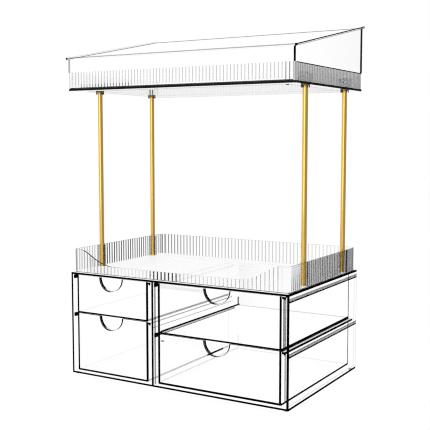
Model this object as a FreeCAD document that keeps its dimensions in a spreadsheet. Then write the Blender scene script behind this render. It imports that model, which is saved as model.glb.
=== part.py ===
"""Clear acrylic desk organiser: a cabinet with four drawers, a fluted tray on top of it, and a
fluted upper tray with a lift-off sloped cover, carried over the lower one on four brass posts.

Millimetres, +Z up. The origin is the middle of the footprint, on the surface that the feet stand on.
The drawers' fronts face -Y.
"""
import FreeCAD, Part
import Sketcher
import math
import os
import re

from FreeCAD import Vector

# Every size that can be set by itself, with its value in millimetres.
SIZES = {
    # cabinet
    "cabinet_width": 300.0,
    "cabinet_depth": 198.0,
    "cabinet_height": 127.5,
    "side_sheet": 2.5,
    "deck_sheet": 2.2,
    "left_bay_width": 118.6,
    # feet
    "foot_diameter": 5.0,
    "foot_height": 1.5,
    "foot_inset": 4.5,
    "foot_edge_radius": 0.4,
    # ledges that the drawers hang on
    "runner_reach": 4.0,
    "runner_thickness": 2.4,
    # drawers
    "drawer_wall": 2.5,
    "drawer_floor": 2.0,
    "drawer_corner_radius": 2.0,
    "drawer_floor_radius": 1.2,
    "drawer_inner_radius": 0.8,
    "rim_reach": 4.6,
    "rim_thickness": 2.4,
    "lip_thickness": 2.4,
    "lip_depth": 4.4,
    "upper_left_drawer_height": 47.4,
    "upper_right_drawer_height": 59.6,
    "notch_radius": 16.0,
    "drawer_side_clearance": 1.2,
    "drawer_top_clearance": 0.6,
    "drawer_stack_clearance": 0.5,
    "drawer_floor_clearance": 2.2,
    "drawer_rear_clearance": 0.3,
    "runner_clearance": 0.1,
    # lower tray
    "tray_inset": 1.0,
    "tray_height": 29.0,
    "tray_floor": 1.5,
    "tray_corner_radius": 8.0,
    "tray_web": 1.7,
    "tray_flute_pitch": 5.2,
    "flute_depth": 0.8,
    "scoop_height": 10.8,
    "scoop_margin": 13.0,
    "scoop_run": 53.0,
    "scoop_top_ease": 13.0,
    "scoop_foot_ease": 28.0,
    # posts and their sockets
    "post_diameter": 6.2,
    "post_side_inset": 7.3,
    "post_front_inset": 52.2,
    "post_spacing": 114.7,
    "post_edge_break": 0.3,
    "post_fit": 0.05,
    "socket_wall": 2.0,
    "upper_socket_diameter": 16.0,
    "upper_socket_height": 12.0,
    "upper_socket_drop": 2.5,
    "post_seat": 3.8,
    # upper tray
    "display_height": 224.0,
    "canopy_overhang": 4.0,
    "canopy_setback": 3.5,
    "canopy_floor": 2.5,
    "canopy_band": 19.7,
    "canopy_corner_radius": 3.0,
    "canopy_web": 2.0,
    "canopy_flute_pitch": 4.43,
    "plinth_depth": 0.9,
    "plinth_side_inset": 16.8,
    "plinth_front_inset": 16.5,
    "plinth_back_inset": 6.7,
    "plinth_corner_radius": 4.0,
    # cover
    "cover_sheet": 2.5,
    "cover_inset": 0.6,
    "cover_front_height": 15.5,
    "cover_rise": 39.4,
    "roof_sheet": 2.6,
    "roof_overhang": 1.3,
}

# Sizes and places that follow from those above.
DERIVED = {
    "floor_level": "foot_height + deck_sheet",
    "cabinet_top": "foot_height + cabinet_height",
    "bay_height": "cabinet_height - 2 * deck_sheet",
    "inner_depth": "cabinet_depth - side_sheet",
    "inner_left": "side_sheet - cabinet_width / 2",
    "inner_right": "cabinet_width / 2 - side_sheet",
    "divider_left": "inner_left + left_bay_width",
    "divider_right": "divider_left + side_sheet",
    "right_bay_width": "inner_right - divider_right",
    "front": "-cabinet_depth / 2",
    "drawer_depth": "inner_depth - drawer_rear_clearance",
    "drawer_margin": "drawer_side_clearance + rim_reach",
    "left_drawer_width": "left_bay_width - 2 * drawer_margin",
    "right_drawer_width": "right_bay_width - 2 * drawer_margin",
    "drawer_stack": "bay_height - drawer_top_clearance - drawer_floor_clearance",
    "lower_left_drawer_height": "drawer_stack - drawer_stack_clearance - upper_left_drawer_height",
    "lower_right_drawer_height": "drawer_stack - drawer_stack_clearance - upper_right_drawer_height",
    "lower_drawer_level": "floor_level + drawer_floor_clearance",
    "drawers_top": "lower_drawer_level + drawer_stack",
    "runner_drop": "lip_depth + runner_clearance + runner_thickness",
    "tray_width": "cabinet_width - 2 * tray_inset",
    "tray_depth": "cabinet_depth - 2 * tray_inset",
    "tray_wall": "flute_depth + tray_web",
    "post_radius": "post_diameter / 2",
    "socket_bore": "post_radius + post_fit",
    "socket_radius": "post_radius + socket_wall",
    "post_left": "post_side_inset - cabinet_width / 2",
    "post_right": "cabinet_width / 2 - post_side_inset",
    "post_front": "front + post_front_inset",
    "post_back": "post_front + post_spacing",
    "post_level": "cabinet_top + tray_floor",
    "post_top": "canopy_level - upper_socket_drop + post_seat",
    "post_length": "post_top - post_level",
    "canopy_level": "cabinet_top + display_height",
    "canopy_width": "cabinet_width + 2 * canopy_overhang",
    "canopy_depth": "cabinet_depth - canopy_setback - roof_overhang",
    "canopy_front": "front + canopy_setback",
    "canopy_back": "canopy_front + canopy_depth",
    "canopy_wall": "flute_depth + canopy_web",
    "canopy_top": "canopy_level + canopy_floor + canopy_band",
    "roof_width": "canopy_width + 2 * roof_overhang",
    "roof_front": "canopy_front - roof_overhang",
    "roof_back": "canopy_back + roof_overhang",
    "roof_slope": "cover_rise / (roof_back - roof_front)",
    "cover_width": "canopy_width - 2 * cover_inset",
    "cover_front": "canopy_front + cover_inset",
    "cover_back": "canopy_back - cover_inset",
}

doc = FreeCAD.newDocument("organiser")


def make_sheet():
    """The spreadsheet: one row per size, its name in column A and its value in column B."""
    sheet = doc.addObject("Spreadsheet::Sheet", "Sizes")
    for row, (name, size) in enumerate(SIZES.items(), start=1):
        sheet.set(f"A{row}", name)
        sheet.set(f"B{row}", str(size))
        sheet.setAlias(f"B{row}", name)
    doc.recompute()
    return sheet


sizes = make_sheet()


def formula(text):
    """An expression over the sheet: each size's name becomes its cell, each derived name its formula."""

    def spell(word):
        name = word.group()
        if name in SIZES:
            return "Sizes." + name
        if name in DERIVED:
            return "(" + formula(DERIVED[name]) + ")"
        return name

    return re.sub(r"[a-z][a-z_]*", spell, text)


def value(text):
    """The number that a formula gives now."""
    return float(sizes.evalExpression(formula(text)))


def bind(thing, **properties):
    """Ties each named property of a document object to a formula."""
    for name, text in properties.items():
        thing.setExpression(name, formula(text))


def place(thing, x="0", y="0", z="0"):
    """Ties a document object's position to three formulas."""
    for axis, text in (("x", x), ("y", y), ("z", z)):
        thing.setExpression(f"Placement.Base.{axis}", formula(text))


# Sub-parts, in the order they are made. Each one's Label is its node's name.
pieces = []


def keep(thing, label):
    """Adds a document object to the sub-parts under its node's name."""
    thing.Label = label
    pieces.append(thing)
    return thing


# ---------------------------------------------------------------------------
# Sketches and features shared by the sub-parts
# ---------------------------------------------------------------------------

ORIGIN = -1  # Sketcher's index of the sketch's own origin point


def sketch_on(body, role, name, offset="0"):
    """A sketch on one of the body's own origin planes, moved along the plane's normal by offset."""
    plane = next(feature for feature in body.Origin.OriginFeatures if feature.Role == role)
    sketch = body.newObject("Sketcher::SketchObject", name)
    sketch.AttachmentSupport = (plane, "")
    sketch.MapMode = "FlatFace"
    sketch.setExpression("AttachmentOffset.Base.z", formula(offset))
    return sketch


def tie(sketch, constraint, text):
    """Adds a dimension to a sketch and ties it to a formula."""
    index = sketch.addConstraint(constraint)
    sketch.setExpression(f"Constraints[{index}]", formula(text))


def draw_polygon(sketch, corners):
    """A closed outline of straight lines; each corner is a pair of formulas."""
    points = [Vector(value(x), value(y), 0) for x, y in corners]
    count = len(points)
    for index in range(count):
        sketch.addGeometry(Part.LineSegment(points[index], points[(index + 1) % count]), False)
    for index, (x, y) in enumerate(corners):
        sketch.addConstraint(Sketcher.Constraint("Coincident", index, 2, (index + 1) % count, 1))
        across = Sketcher.Constraint("DistanceX", ORIGIN, 1, index, 1, points[index].x)
        up = Sketcher.Constraint("DistanceY", ORIGIN, 1, index, 1, points[index].y)
        tie(sketch, across, x)
        tie(sketch, up, y)


def draw_circle(sketch, radius, y="0"):
    """A circle on the sketch's vertical axis, y above its origin."""
    centre = Vector(0, value(y), 0)
    sketch.addGeometry(Part.Circle(centre, Vector(0, 0, 1), value(radius)), False)
    tie(sketch, Sketcher.Constraint("DistanceX", ORIGIN, 1, 0, 3, 0.0), "0")
    tie(sketch, Sketcher.Constraint("DistanceY", ORIGIN, 1, 0, 3, centre.y), y)
    tie(sketch, Sketcher.Constraint("Radius", 0, value(radius)), radius)


def pad(body, sketch, name, length, reverse=False):
    """Material along the sketch's normal, or against it when reverse is set."""
    feature = body.newObject("PartDesign::Pad", name)
    feature.Profile = sketch
    feature.Reversed = reverse
    bind(feature, Length=length)
    sketch.Visibility = False
    doc.recompute()
    return feature


def pocket(body, sketch, name, depth, reverse=False):
    """A cut against the sketch's normal, or along it when reverse is set; it must remove material."""
    before = body.Shape.Volume
    feature = body.newObject("PartDesign::Pocket", name)
    feature.Profile = sketch
    feature.Reversed = reverse
    bind(feature, Length=depth)
    doc.recompute()
    if body.Shape.Volume >= before:
        raise RuntimeError(f"{body.Name}: {name} removes nothing")
    return feature


def round_edges(body, base, name, radius, wanted):
    """A fillet on the edges of base that wanted picks."""
    names = [f"Edge{n}" for n, edge in enumerate(base.Shape.Edges, start=1) if wanted(edge)]
    feature = body.newObject("PartDesign::Fillet", name)
    feature.Base = (base, names)
    bind(feature, Radius=radius)
    doc.recompute()
    return feature


def is_upright(edge):
    """True for a straight edge along Z."""
    box = edge.BoundBox
    return box.ZLength > 1 and box.XLength < 0.01 and box.YLength < 0.01


def lies_at(edge, level):
    """True for an edge that lies flat at a height."""
    box = edge.BoundBox
    return abs(box.ZMin - level) < 0.01 and abs(box.ZMax - level) < 0.01


def make_box(label, size, position):
    """A rectangular sheet or strip; size and position are three formulas each."""
    piece = doc.addObject("Part::Box", label)
    length, width, height = size
    bind(piece, Length=length, Width=width, Height=height)
    place(piece, *position)
    return piece


def make_cylinder(name, radius, height, position):
    """An upright cylinder, its position the middle of its lower end."""
    cylinder = doc.addObject("Part::Cylinder", name)
    bind(cylinder, Radius=radius, Height=height)
    place(cylinder, *position)
    return cylinder


def cut(base, tool, name):
    """base with tool taken out of it."""
    result = doc.addObject("Part::Cut", name)
    result.Base = base
    result.Tool = tool
    return result


# ---------------------------------------------------------------------------
# Cabinet: flat sheets bonded edge to face, with ledges for the drawers and four feet
# ---------------------------------------------------------------------------


def make_cabinet():
    """Floor and top over the full footprint, with walls, back and divider standing between them."""
    deck = ("cabinet_width", "cabinet_depth", "deck_sheet")
    wall = ("side_sheet", "cabinet_depth", "bay_height")
    back = ("cabinet_width - 2 * side_sheet", "side_sheet", "bay_height")
    divider = ("side_sheet", "inner_depth", "bay_height")
    corner = "-cabinet_width / 2"
    keep(make_box("Bottom", deck, (corner, "front", "foot_height")), "cabinet_bottom")
    keep(make_box("Top", deck, (corner, "front", "cabinet_top - deck_sheet")), "cabinet_top_panel")
    keep(make_box("LeftWall", wall, (corner, "front", "floor_level")), "cabinet_left_wall")
    keep(make_box("RightWall", wall, ("inner_right", "front", "floor_level")), "cabinet_right_wall")
    keep(make_box("Back", back, ("inner_left", "front + inner_depth", "floor_level")), "cabinet_back")
    keep(make_box("Divider", divider, ("divider_left", "front", "floor_level")), "centre_divider")


def make_runners():
    """Eight ledges, one under each side of each drawer's rim."""
    tops = {
        "upper": "drawers_top",
        "lower_left": "lower_drawer_level + lower_left_drawer_height",
        "lower_right": "lower_drawer_level + lower_right_drawer_height",
    }
    ledges = (
        ("left_wall", "inner_left", "lower_left"),
        ("divider_left", "divider_left - runner_reach", "lower_left"),
        ("divider_right", "divider_right", "lower_right"),
        ("right_wall", "inner_right - runner_reach", "lower_right"),
    )
    size = ("runner_reach", "inner_depth", "runner_thickness")
    for where, x, bay in ledges:
        for level, top in (("upper", tops["upper"]), ("lower", tops[bay])):
            name = f"{where}_{level}_runner"
            keep(make_box(name.title(), size, (x, "front", f"{top} - runner_drop")), name)


def make_feet():
    """Four low round bumpers under the corners of the cabinet, rounded where they meet the desk."""
    reach_x = "(cabinet_width / 2 - foot_inset)"
    reach_y = "(cabinet_depth / 2 - foot_inset)"
    for depth_name, y_sign in (("front", "-"), ("back", "")):
        for side_name, x_sign in (("left", "-"), ("right", "")):
            label = f"{depth_name}_{side_name}_foot"
            body = doc.addObject("PartDesign::Body", label.title())
            outline = sketch_on(body, "XY_Plane", "Outline")
            draw_circle(outline, "foot_diameter / 2")
            pad(body, outline, "Pad", "foot_height")
            round_edges(body, body.Tip, "Round", "foot_edge_radius", lambda edge: lies_at(edge, 0))
            place(body, x_sign + reach_x, y_sign + reach_y)
            keep(body, label)


# ---------------------------------------------------------------------------
# Drawers: one-piece bins that hang by a rim with a down-turned lip on each side
# ---------------------------------------------------------------------------


def make_drawer(label, width, height, position):
    """A bin whose body is width by drawer_depth by height, with the origin at its front's lower middle."""
    body = doc.addObject("PartDesign::Body", label.title())
    half = f"({width}) / 2"
    inner = f"({half} - drawer_wall)"

    outline = sketch_on(body, "XY_Plane", "Outline")
    draw_polygon(
        outline,
        ((f"-{half}", "0"), (half, "0"), (half, "drawer_depth"), (f"-{half}", "drawer_depth")),
    )
    block = pad(body, outline, "Block", height)
    corners = round_edges(body, block, "Corners", "drawer_corner_radius", is_upright)
    round_edges(body, corners, "FloorEdge", "drawer_floor_radius", lambda edge: lies_at(edge, 0))

    inside = sketch_on(body, "XY_Plane", "Inside", "drawer_floor")
    back = "drawer_depth - drawer_wall"
    draw_polygon(
        inside,
        ((f"-{inner}", "drawer_wall"), (inner, "drawer_wall"), (inner, back), (f"-{inner}", back)),
    )
    hollow = pocket(body, inside, "Hollow", height, reverse=True)

    floor = value("drawer_floor")

    def is_inner_corner(edge):
        box = edge.BoundBox
        starts_on_floor = abs(box.ZMin - floor) < 0.01
        return starts_on_floor and (is_upright(edge) or lies_at(edge, floor))

    round_edges(body, hollow, "InnerCorners", "drawer_inner_radius", is_inner_corner)

    rim = sketch_on(body, "XZ_Plane", "RimProfile")
    root = f"{half} - drawer_wall / 2"
    edge_of_rim = f"{half} + rim_reach"
    under = f"({height}) - rim_thickness"
    lip_end = f"({height}) - lip_depth"
    draw_polygon(
        rim,
        (
            (root, height),
            (edge_of_rim, height),
            (edge_of_rim, lip_end),
            (f"{edge_of_rim} - lip_thickness", lip_end),
            (f"{edge_of_rim} - lip_thickness", under),
            (root, under),
        ),
    )
    right_rim = pad(body, rim, "RightRim", "drawer_depth", reverse=True)
    mirror = body.newObject("PartDesign::Mirrored", "LeftRim")
    mirror.Originals = [right_rim]
    mirror.MirrorPlane = (rim, ["V_Axis"])
    body.Tip = mirror
    doc.recompute()

    notch = sketch_on(body, "XZ_Plane", "FingerNotch")
    draw_circle(notch, "notch_radius", height)
    pocket(body, notch, "Notch", "drawer_wall + notch_radius / 4")

    place(body, *position)
    return keep(body, label)


def make_drawers():
    """Two drawers in each bay, the lower one deep, with their fronts flush with the cabinet's edges."""
    bays = (
        ("left", "left_drawer_width", "inner_left + left_bay_width / 2"),
        ("right", "right_drawer_width", "divider_right + right_bay_width / 2"),
    )
    for side, width, middle in bays:
        upper = f"upper_{side}_drawer_height"
        lower = f"lower_{side}_drawer_height"
        make_drawer(f"upper_{side}_drawer", width, upper, (middle, "front", f"drawers_top - {upper}"))
        make_drawer(f"lower_{side}_drawer", width, lower, (middle, "front", "lower_drawer_level"))


# ---------------------------------------------------------------------------
# Fluted trays
# ---------------------------------------------------------------------------


def corner_arc(centre, radius, start_angle):
    """A quarter circle, counter-clockwise from start_angle."""
    angles = (start_angle, start_angle + math.pi / 4, start_angle + math.pi / 2)
    ends = [centre + Vector(math.cos(a), math.sin(a), 0) * radius for a in angles]
    return Part.Arc(*ends).toShape()


def tray_outline(width, depth, radius, pitch=0.0, flute=0.0):
    """A rounded rectangle about the origin, as a face.

    With a pitch, its straight sides are rows of shallow arcs, flute high, whose feet lie on the
    rectangle; each side holds the whole number of arcs whose pitch comes nearest.
    """
    half = Vector(width / 2 - radius, depth / 2 - radius, 0)
    edges = []
    for quarter, (x, y) in enumerate(((1, 1), (-1, 1), (-1, -1), (1, -1))):
        angle = quarter * math.pi / 2
        centre = Vector(half.x * x, half.y * y, 0)
        edges.append(corner_arc(centre, radius, angle))
        along = Vector(-math.sin(angle + math.pi / 2), math.cos(angle + math.pi / 2), 0)
        outward = Vector(math.cos(angle + math.pi / 2), math.sin(angle + math.pi / 2), 0)
        start = centre + outward * radius
        length = 2 * (half.x if quarter % 2 == 0 else half.y)
        if pitch <= 0:
            edges.append(Part.LineSegment(start, start + along * length).toShape())
            continue
        count = max(1, round(length / pitch))
        step = along * (length / count)
        for number in range(count):
            foot = start + step * number
            crest = foot + step * 0.5 + outward * flute
            edges.append(Part.Arc(foot, crest, foot + step).toShape())
    return Part.Face(Part.Wire(edges))


def fluted_tray(width, depth, radius, floor, height, wall, pitch, flute):
    """A tray with a plain floor plate and walls fluted outside, standing on z = 0 about the origin."""
    plate = tray_outline(width, depth, radius).extrude(Vector(0, 0, floor))
    valley_radius = radius - flute
    outer = tray_outline(width - 2 * flute, depth - 2 * flute, valley_radius, pitch, flute)
    inner_radius = max(radius - wall, valley_radius / 4)
    inner = tray_outline(width - 2 * wall, depth - 2 * wall, inner_radius)
    ring = outer.cut(inner).extrude(Vector(0, 0, height - floor))
    ring.translate(Vector(0, 0, floor))
    return plate.fuse(ring).removeSplitter()


def scoop_tool(width, front, depth):
    """The block that lowers the front wall: flat in the middle, with an eased ramp up at each end."""
    top = value("tray_height")
    low = value("scoop_height")
    inset = value("scoop_margin - tray_inset")
    run = value("scoop_run")
    top_ease = value("scoop_top_ease")
    foot_ease = value("scoop_foot_ease")
    over = top + value("tray_floor")

    def at(x, z):
        return Vector(x, front, z)

    def ramp(side):
        edge = width / 2 - inset
        poles = (
            at(side * edge, top),
            at(side * (edge - top_ease), top),
            at(side * (edge - run + foot_ease), low),
            at(side * (edge - run), low),
        )
        curve = Part.BezierCurve()
        curve.setPoles(list(poles))
        return curve.toShape(), poles[0], poles[-1]

    right, right_top, right_foot = ramp(1)
    left, left_top, left_foot = ramp(-1)
    right_over = at(right_top.x, over)
    left_over = at(left_top.x, over)
    outline = Part.Wire(
        [
            right,
            Part.LineSegment(right_foot, left_foot).toShape(),
            left,
            Part.LineSegment(left_top, left_over).toShape(),
            Part.LineSegment(left_over, right_over).toShape(),
            Part.LineSegment(right_over, right_top).toShape(),
        ]
    )
    return Part.Face(outline).extrude(Vector(0, depth, 0))


def make_lower_tray():
    """The open tray on top of the cabinet, its front wall scooped low between the corners."""
    width = value("tray_width")
    depth = value("tray_depth")
    wall = value("tray_wall")
    shape = fluted_tray(
        width,
        depth,
        value("tray_corner_radius"),
        value("tray_floor"),
        value("tray_height"),
        wall,
        value("tray_flute_pitch"),
        value("flute_depth"),
    )
    shape = shape.cut(scoop_tool(width, -depth / 2 - wall, 2 * wall))
    tray = doc.addObject("Part::Feature", "LowerTray")
    tray.Shape = shape
    place(tray, z="cabinet_top")
    keep(tray, "lower_tray")


def make_upper_tray():
    """The tray over the posts: the same fluted wall, a shallow step below, a hole for each socket."""
    width = value("canopy_width")
    depth = value("canopy_depth")
    shape = fluted_tray(
        width,
        depth,
        value("canopy_corner_radius"),
        value("canopy_floor"),
        value("canopy_floor + canopy_band"),
        value("canopy_wall"),
        value("canopy_flute_pitch"),
        value("flute_depth"),
    )
    plinth = tray_outline(
        width - 2 * value("plinth_side_inset"),
        depth - value("plinth_front_inset + plinth_back_inset"),
        value("plinth_corner_radius"),
    ).extrude(Vector(0, 0, -value("plinth_depth")))
    plinth.translate(Vector(0, value("(plinth_front_inset - plinth_back_inset) / 2"), 0))
    shape = shape.fuse(plinth).removeSplitter()
    middle = value("(canopy_front + canopy_back) / 2")
    for _, x, y in post_places():
        foot = Vector(value(x), value(y) - middle, 0)
        hole = Part.makeCylinder(value("socket_radius + post_fit"), value("canopy_floor"), foot)
        shape = shape.cut(hole)
    tray = doc.addObject("Part::Feature", "UpperTray")
    tray.Shape = shape
    place(tray, y="(canopy_front + canopy_back) / 2", z="canopy_level")
    keep(tray, "upper_tray")


# ---------------------------------------------------------------------------
# Posts and sockets
# ---------------------------------------------------------------------------


def post_places():
    """Name and position formulas of the four posts."""
    for depth_name in ("front", "back"):
        for side_name in ("left", "right"):
            yield f"{depth_name}_{side_name}", f"post_{side_name}", f"post_{depth_name}"


def make_post(name, x, y):
    """A brass rod from the lower tray's floor up into its upper socket, its ends slightly chamfered."""
    body = doc.addObject("PartDesign::Body", f"{name}_Post".title())
    section = sketch_on(body, "XY_Plane", "Section")
    draw_circle(section, "post_radius")
    rod = pad(body, section, "Rod", "post_length")
    chamfer = body.newObject("PartDesign::Chamfer", "EndBreaks")
    rims = [f"Edge{n}" for n, edge in enumerate(rod.Shape.Edges, start=1) if edge.BoundBox.ZLength < 0.01]
    chamfer.Base = (rod, rims)
    bind(chamfer, Size="post_edge_break")
    place(body, x, y, "post_level")
    keep(body, f"{name}_post")


def make_lower_socket(name, x, y):
    """A clear sleeve round the post's foot, cut flat where it is bonded to the tray's side wall."""
    height = "tray_height - tray_floor"
    outer = make_cylinder(f"{name}_sleeve", "socket_radius", height, (x, y, "post_level"))
    width = "tray_width - 2 * tray_wall"
    room = make_box(
        f"{name}_room",
        (width, "2 * socket_radius", height),
        (f"-({width}) / 2", f"{y} - socket_radius", "post_level"),
    )
    flat = doc.addObject("Part::Common", f"{name}_flat_sleeve")
    flat.Base = outer
    flat.Tool = room
    bore = make_cylinder(f"{name}_sleeve_bore", "socket_bore", height, (x, y, "post_level"))
    keep(cut(flat, bore, f"{name}_LowerSocket".title()), f"{name}_lower_socket")


def make_upper_socket(name, x, y):
    """A clear socket through the upper tray's floor, wide above it, with a blind bore for the post."""
    spigot_foot = "canopy_level - upper_socket_drop"
    boss_foot = "canopy_level + canopy_floor"
    spigot = make_cylinder(
        f"{name}_spigot", "socket_radius", "upper_socket_drop + canopy_floor", (x, y, spigot_foot)
    )
    boss = make_cylinder(
        f"{name}_boss", "upper_socket_diameter / 2", "upper_socket_height", (x, y, boss_foot)
    )
    solid = doc.addObject("Part::Fuse", f"{name}_stepped_socket")
    solid.Base = spigot
    solid.Tool = boss
    bore_depth = f"post_top - ({spigot_foot})"
    bore = make_cylinder(f"{name}_bore", "socket_bore", bore_depth, (x, y, spigot_foot))
    keep(cut(solid, bore, f"{name}_UpperSocket".title()), f"{name}_upper_socket")


# ---------------------------------------------------------------------------
# Cover: five flat panes, the roof rising towards the back
# ---------------------------------------------------------------------------


def under_roof(y, drop="0"):
    """Height of the roof's underside over depth y, or drop above it."""
    return f"canopy_top + cover_front_height + ({y} - roof_front) * roof_slope + ({drop})"


def make_pane(label, outline, length, x):
    """A pane whose side view is outline, pairs of depth and height, and which is length wide from x."""
    body = doc.addObject("PartDesign::Body", label.title())
    sketch = sketch_on(body, "YZ_Plane", "SideView")
    draw_polygon(sketch, outline)
    pad(body, sketch, "Pane", length)
    place(body, x)
    return keep(body, label)


def make_cover():
    """Side panes over the full depth, front and back panes between them, the roof on top of all four."""

    def upright(y_low, y_high):
        return (
            (y_low, "canopy_top"),
            (y_high, "canopy_top"),
            (y_high, under_roof(y_high)),
            (y_low, under_roof(y_low)),
        )

    half = "(cover_width / 2)"
    inner_width = "cover_width - 2 * cover_sheet"
    sides = upright("cover_front", "cover_back")
    make_pane("cover_left_pane", sides, "cover_sheet", f"-{half}")
    make_pane("cover_right_pane", sides, "cover_sheet", f"{half} - cover_sheet")
    front = upright("cover_front", "(cover_front + cover_sheet)")
    back = upright("(cover_back - cover_sheet)", "cover_back")
    make_pane("cover_front_pane", front, inner_width, f"cover_sheet - {half}")
    make_pane("cover_back_pane", back, inner_width, f"cover_sheet - {half}")
    roof = (
        ("roof_front", under_roof("roof_front")),
        ("roof_back", under_roof("roof_back")),
        ("roof_back", under_roof("roof_back", "roof_sheet")),
        ("roof_front", under_roof("roof_front", "roof_sheet")),
    )
    make_pane("cover_roof", roof, "roof_width", "-roof_width / 2")


def check_all():
    """Raises if a document object failed or a sub-part has no valid solid."""
    for thing in doc.Objects:
        if {"Invalid", "Error"} & set(thing.State):
            raise RuntimeError(f"{thing.Name} ({thing.Label}) is {thing.State}")
    for piece in pieces:
        if piece.Shape.isNull() or not piece.Shape.isValid() or not piece.Shape.Solids:
            raise RuntimeError(f"{piece.Label} has no valid solid")


def export_all():
    """Writes each sub-part to parts/ under its node's name."""
    os.makedirs("parts", exist_ok=True)
    for piece in pieces:
        piece.Shape.exportStep(f"parts/{piece.Label}.step")
        print(f"{piece.Label:32s} {len(piece.Shape.Solids)} solid {piece.Shape.Volume / 1000:9.2f} cm3")


make_cabinet()
make_runners()
make_feet()
make_drawers()
make_lower_tray()
for post_name, post_x, post_y in post_places():
    make_lower_socket(post_name, post_x, post_y)
    make_post(post_name, post_x, post_y)
    make_upper_socket(post_name, post_x, post_y)
make_upper_tray()
make_cover()
doc.recompute()
check_all()
export_all()
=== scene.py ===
import math

import bpy
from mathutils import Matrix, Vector


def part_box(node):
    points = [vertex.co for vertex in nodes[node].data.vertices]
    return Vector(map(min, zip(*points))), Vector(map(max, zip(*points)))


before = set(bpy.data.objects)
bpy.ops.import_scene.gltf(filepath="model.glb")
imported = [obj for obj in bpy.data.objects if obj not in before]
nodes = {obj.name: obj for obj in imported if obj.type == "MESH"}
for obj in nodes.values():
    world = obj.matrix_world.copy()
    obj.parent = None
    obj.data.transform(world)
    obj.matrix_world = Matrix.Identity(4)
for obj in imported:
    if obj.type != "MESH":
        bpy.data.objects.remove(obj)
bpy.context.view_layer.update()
scene = bpy.context.scene

# colours of the painted shade: dark marks that stand in for the shade and dark reflections that refraction
# gives clear acrylic
PAINTED_SHADE_BLACK = (0.0015, 0.0015, 0.0018)
PAINTED_SHADE_SOFT = (0.010, 0.010, 0.011)
PAINTED_SHADE_WARM = (0.06, 0.05, 0.04)
BLACK = 1.1  # a mark's strength where it stays black through every variation
REFRACTIVE_INDEX = 1.49

# sizes in millimetres, as in the part's source
SHEET = 2.5
RIM_REACH, RIM_DEPTH = 4.6, 2.4
LIP_THICKNESS, LIP_DEPTH = 2.4, 4.4
DRAWER_WALL, NOTCH_RADIUS = 2.5, 16.0
TRAY_FLOOR = 130.5
CANOPY_LEVEL, CANOPY_FLOOR = 353.0, 355.5
ROOF_RISE = 39.4
BEYOND = 900.0  # past the end of any piece
EDGE = -1.0  # a span that takes in the edge it is measured from starts this far outside it
FACE_TOLERANCE = 0.3  # how far a face's direction may be off the side it is taken for

# directions over the floor: across the picture to the right, and from the object to the camera
ACROSS_X, ACROSS_Y = 0.857, 0.507
TOWARD_X, TOWARD_Y = 0.507, -0.857


# ---------------------------------------------------------------------------
# Node trees
# ---------------------------------------------------------------------------


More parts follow.
